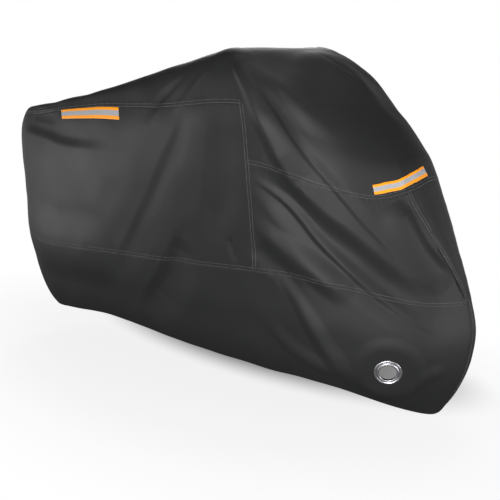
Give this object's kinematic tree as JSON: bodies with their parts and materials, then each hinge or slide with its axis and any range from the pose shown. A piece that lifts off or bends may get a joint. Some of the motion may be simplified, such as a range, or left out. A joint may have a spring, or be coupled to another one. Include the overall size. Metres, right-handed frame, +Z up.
{
  "type": "motorcycle cover",
  "caption": "Fitted woven cover as it hangs over a motorcycle, with a belted skirt, round steel eyelets at the front and sewn reflective strips.",
  "frame": {"origin": "on the underside of the top panel, in its middle, where it lies highest", "axes": "+X forward to the nose, +Y to the left side, +Z up"},
  "size_m": [1.9853, 0.7214, 1.1014],
  "materials": {
    "cloth": "coated plain weave, satin, near black",
    "steel": "polished pressed steel",
    "reflective": "silver reflective tape with a coloured edge"
  },
  "bodies": {
    "root": {"top_panel": "cloth", "rear_side_panel": "cloth", "front_side_panel_right": "cloth", "front_side_panel_left": "cloth", "nose_panel": "cloth", "skirt_right": "cloth", "skirt_left": "cloth", "eyelet_right": "steel", "eyelet_left": "steel", "rear_strip": "reflective", "front_strip": "reflective"}
  },
  "joints": []
}
